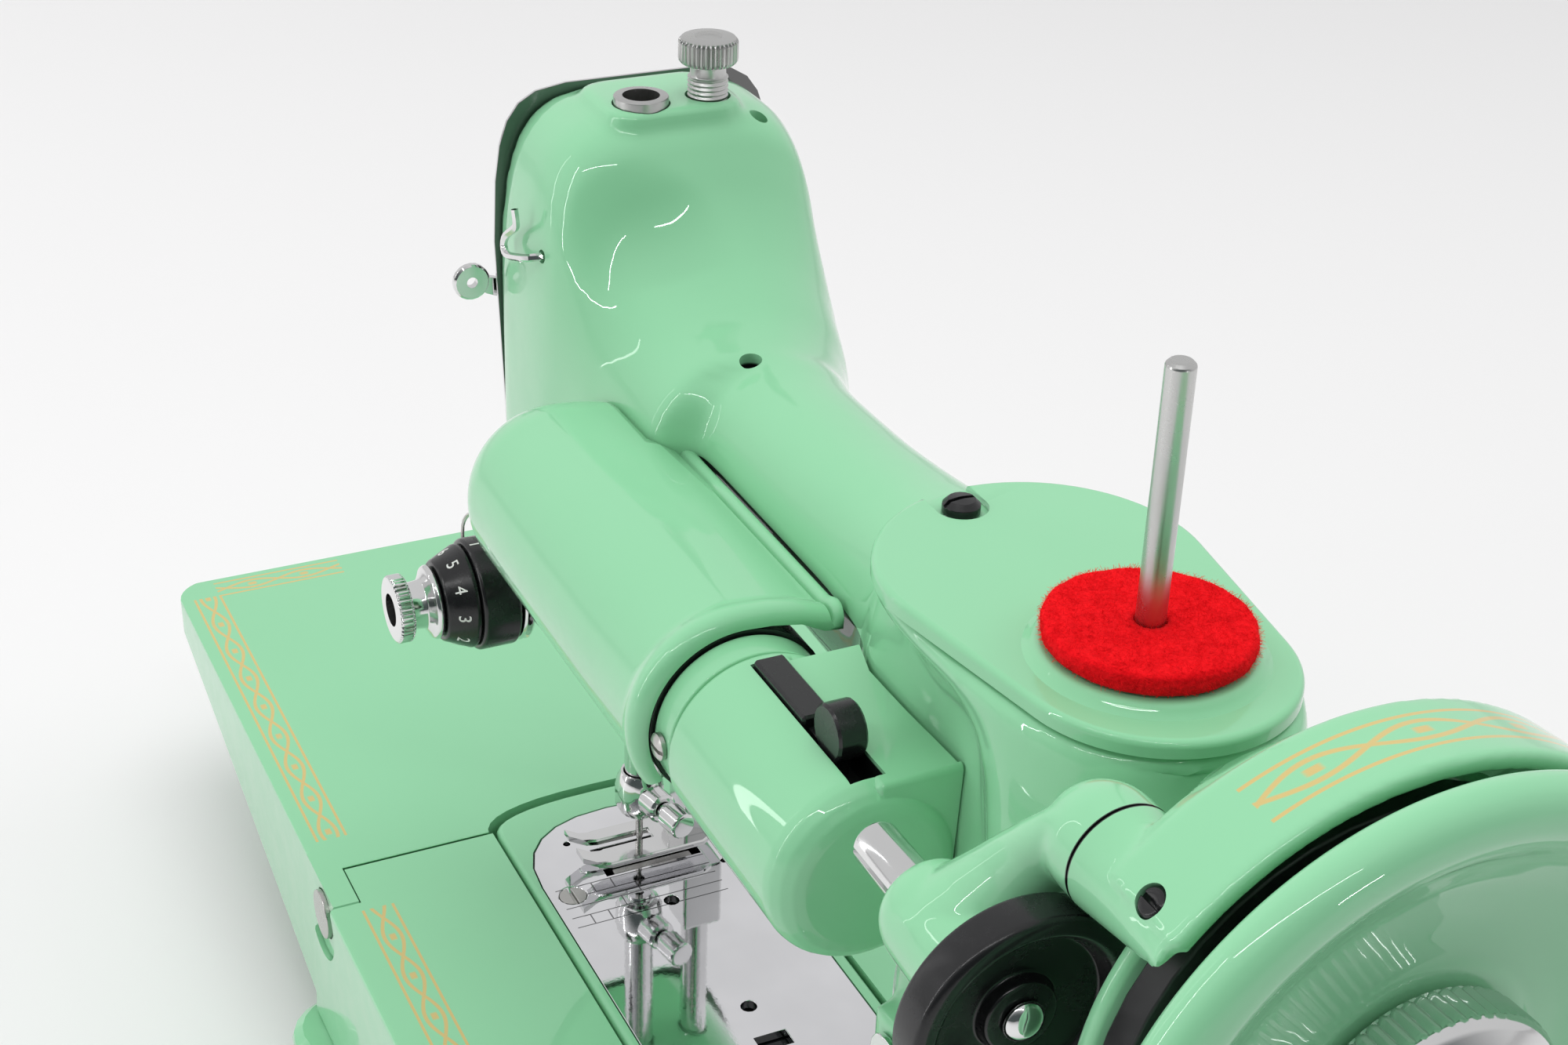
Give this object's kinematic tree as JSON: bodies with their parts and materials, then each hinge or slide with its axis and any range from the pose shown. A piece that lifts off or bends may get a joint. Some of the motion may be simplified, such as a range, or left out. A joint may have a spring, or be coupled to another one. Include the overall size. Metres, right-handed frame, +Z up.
{
  "type": "portable sewing machine",
  "caption": "Small free-arm sewing machine with folding bed leaf, slide-off bed, arm lamp, bobbin winder, handwheel and back motor with belt.",
  "frame": {"origin": "on the underside plate, straight below the needle", "axes": "+X from the needle to the handwheel, +Y away from the operator, +Z up; the bed top is at z = 51 mm"},
  "size_m": [0.3986, 0.178, 0.25],
  "materials": {
    "mint_paint": "deep gloss enamel over cast aluminium",
    "chrome": "bright nickel-chrome plate",
    "steel": "ground steel",
    "black_plastic": "black phenolic and enamel",
    "rubber": "matt black rubber",
    "felt": "red wool felt",
    "frosted_glass": "frosted bulb glass"
  },
  "bodies": {
    "machine": {"machine_body": "mint_paint", "base_plate": "mint_paint", "rubber_foot_fl": "rubber", "rubber_foot_fr": "rubber", "rubber_foot_bl": "rubber", "rubber_foot_br": "rubber", "free_arm_cover": "mint_paint", "needle_plate": "chrome", "needle_plate_screw": "steel", "face_plate": "chrome", "face_plate_screw": "chrome", "top_cover": "mint_paint", "top_cover_screw": "black_plastic", "spool_pin": "chrome", "spool_felt": "felt", "needle_bar_bushing": "chrome", "thread_hook": "chrome", "tension_stud": "black_plastic", "tension_drum": "black_plastic", "tension_discs": "chrome", "lamp_shade": "mint_paint", "lamp_socket": "mint_paint", "lamp_collar": "black_plastic", "lamp_ring_screw": "steel", "lamp_bulb": "frosted_glass", "belt_guard": "mint_paint", "stitch_plate": "chrome", "motor_housing": "black_plastic", "power_inlet": "black_plastic", "drive_belt": "rubber", "bobbin_case": "steel"},
    "extension": {"bed_extension": "mint_paint", "leaf_pin_front": "steel", "leaf_pin_back": "steel"},
    "leaf": {"bed_leaf": "mint_paint"},
    "wheel": {"handwheel": "mint_paint", "arm_shaft": "steel"},
    "stop_knob": {"stop_motion_knob": "chrome"},
    "motor_rotor": {"motor_pulley": "steel"},
    "needle_unit": {"needle_bar": "chrome", "needle_clamp": "chrome", "needle_clamp_screw": "chrome", "needle": "steel"},
    "presser_unit": {"presser_bar": "chrome", "presser_foot": "chrome", "presser_foot_screw": "chrome"},
    "pressure_knob": {"pressure_screw": "chrome"},
    "lifter": {"presser_lifter": "chrome"},
    "take_up": {"take_up_lever": "chrome"},
    "tension_knob": {"tension_dial": "black_plastic", "tension_nut": "chrome"},
    "check_wire": {"check_spring": "steel"},
    "winder": {"winder_frame": "mint_paint"},
    "winder_shaft": {"winder_spindle": "chrome", "winder_pulley": "rubber"},
    "stitch_control": {"stitch_lever": "chrome"},
    "light_switch": {"lamp_switch": "black_plastic"},
    "feed": {"feed_dog": "steel"},
    "hook": {"hook_and_shaft": "steel"}
  },
  "joints": [
    {"name": "extension_slide", "type": "slide", "parent": "machine", "child": "extension", "axis": [-1, 0, 0], "range_m": [0, 0.15]},
    {"name": "leaf_hinge", "type": "hinge", "parent": "extension", "child": "leaf", "pos_m": [-0.0145, 0, 0.0445], "axis": [0, 1, 0], "range_deg": [0, 70]},
    {"name": "wheel_spin", "type": "hinge", "parent": "machine", "child": "wheel", "pos_m": [0.204, 0, 0.1756], "axis": [1, 0, 0], "continuous": true},
    {"name": "stop_knob_turn", "type": "hinge", "parent": "wheel", "child": "stop_knob", "pos_m": [0.234, 0, 0.1756], "axis": [1, 0, 0], "range_deg": [0, 90]},
    {"name": "motor_spin", "type": "hinge", "parent": "machine", "child": "motor_rotor", "pos_m": [0.2235, 0.063, 0.093], "axis": [1, 0, 0], "continuous": true},
    {"name": "needle_travel", "type": "slide", "parent": "machine", "child": "needle_unit", "axis": [0, 0, 1], "range_m": [-0.0015, 0.028]},
    {"name": "presser_travel", "type": "slide", "parent": "machine", "child": "presser_unit", "axis": [0, 0, 1], "range_m": [-0.003, 0.004]},
    {"name": "pressure_turn", "type": "hinge", "parent": "machine", "child": "pressure_knob", "pos_m": [0, 0.0134, 0.226], "axis": [0, 0, 1], "range_deg": [-180, 180]},
    {"name": "lifter_swing", "type": "hinge", "parent": "machine", "child": "lifter", "pos_m": [-0.004, 0.037, 0.135], "axis": [0, 1, 0], "range_deg": [0, 60]},
    {"name": "take_up_swing", "type": "hinge", "parent": "machine", "child": "take_up", "pos_m": [-0.022, 0.025, 0.163], "axis": [1, 0, 0], "range_deg": [-14, 36]},
    {"name": "tension_turn", "type": "hinge", "parent": "machine", "child": "tension_knob", "pos_m": [0, -0.045, 0.1246], "axis": [0, 1, 0], "range_deg": [-120, 200]},
    {"name": "check_spring_swing", "type": "hinge", "parent": "machine", "child": "check_wire", "pos_m": [0, -0.033, 0.1246], "axis": [0, 1, 0], "range_deg": [0, 20], "stiffness_Nm_per_rad": 0.004},
    {"name": "winder_swing", "type": "hinge", "parent": "machine", "child": "winder", "pos_m": [0.2, -0.02647, 0.20116], "axis": [1, 0, 0], "range_deg": [0, 8]},
    {"name": "winder_spin", "type": "hinge", "parent": "winder", "child": "winder_shaft", "pos_m": [0.2, -0.03741, 0.18026], "axis": [1, 0, 0], "continuous": true},
    {"name": "stitch_swing", "type": "hinge", "parent": "machine", "child": "stitch_control", "pos_m": [0.171, -0.008, 0.117], "axis": [1, 0, 0], "range_deg": [-15, 15]},
    {"name": "switch_slide", "type": "slide", "parent": "machine", "child": "light_switch", "axis": [1, 0, 0], "range_m": [0, 0.005]},
    {"name": "feed_travel", "type": "slide", "parent": "machine", "child": "feed", "axis": [0, 1, 0], "range_m": [-0.0015, 0.0015]},
    {"name": "hook_spin", "type": "hinge", "parent": "machine", "child": "hook", "pos_m": [0, 0, 0.0295], "axis": [1, 0, 0], "continuous": true}
  ],
  "couplings": [
    {"joint": "motor_spin", "follows": "wheel_spin", "ratio": 3.84},
    {"joint": "hook_spin", "follows": "wheel_spin", "ratio": 2}
  ]
}
